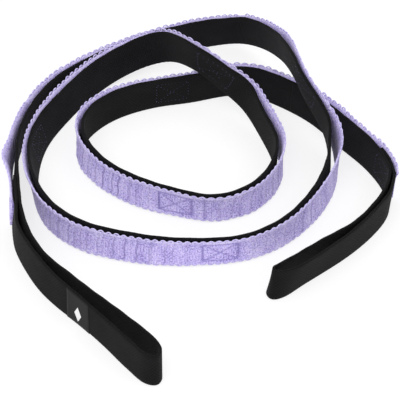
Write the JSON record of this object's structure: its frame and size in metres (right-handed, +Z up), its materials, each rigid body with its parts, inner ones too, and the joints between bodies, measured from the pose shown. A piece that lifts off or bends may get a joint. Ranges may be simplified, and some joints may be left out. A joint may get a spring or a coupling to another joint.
{
  "type": "multi-grip stretching strap",
  "caption": "Flat webbing strap coiled on its edge, with a turned-back hand loop at each end and a picot-edged elastic band box-stitched along it to make grip loops.",
  "frame": {"origin": "middle of the coil's footprint, on the surface the strap stands on", "axes": "+Z up from the surface, +Y away from the two hand loops, +X to the side of the shorter hand loop"},
  "size_m": [0.2664, 0.3609, 0.0529],
  "materials": {
    "webbing": "matt black close-woven webbing",
    "elastic": "lavender cross-ribbed elastic with small looped edges",
    "thread": "lavender sewing thread",
    "label": "smooth black woven label",
    "mark": "white printed mark"
  },
  "bodies": {
    "coil": {"webbing_section_3": "webbing", "webbing_section_4": "webbing", "webbing_section_5": "webbing", "webbing_section_6": "webbing", "webbing_section_7": "webbing", "webbing_section_8": "webbing", "elastic_grip_loop_3": "elastic", "elastic_grip_loop_4": "elastic", "elastic_grip_loop_5": "elastic", "elastic_grip_loop_6": "elastic", "elastic_grip_loop_7": "elastic", "elastic_grip_loop_8": "elastic", "box_stitch_3": "thread", "box_stitch_4": "thread", "box_stitch_5": "thread", "box_stitch_6": "thread", "box_stitch_7": "thread", "box_stitch_8": "thread", "box_stitch_9": "thread", "folded_end_right": "webbing"},
    "back_run": {"webbing_section_2": "webbing", "elastic_grip_loop_2": "elastic", "box_stitch_2": "thread"},
    "left_run": {"webbing_section_1": "webbing", "elastic_grip_loop_1": "elastic", "box_stitch_1": "thread", "folded_end_left": "webbing"},
    "left_handle": {"handle_loop_left": "webbing", "handle_label": "label", "label_mark": "mark"},
    "right_handle": {"handle_loop_right": "webbing"}
  },
  "joints": [
    {"name": "back_run_bend", "type": "hinge", "parent": "coil", "child": "back_run", "pos_m": [0.06796, 0.09412, 0], "axis": [0, 0, 1], "range_deg": [-10, 0]},
    {"name": "left_run_bend", "type": "hinge", "parent": "back_run", "child": "left_run", "pos_m": [-0.05743, 0.14507, 0], "axis": [0, 0, 1], "range_deg": [-15, 0]},
    {"name": "left_handle_bend", "type": "hinge", "parent": "left_run", "child": "left_handle", "pos_m": [-0.12219, -0.03021, 0], "axis": [0, 0, 1], "range_deg": [-28, 15]},
    {"name": "right_handle_bend", "type": "hinge", "parent": "coil", "child": "right_handle", "pos_m": [0.12834, 0.00668, 0], "axis": [0, 0, 1], "range_deg": [-8, 30]}
  ]
}
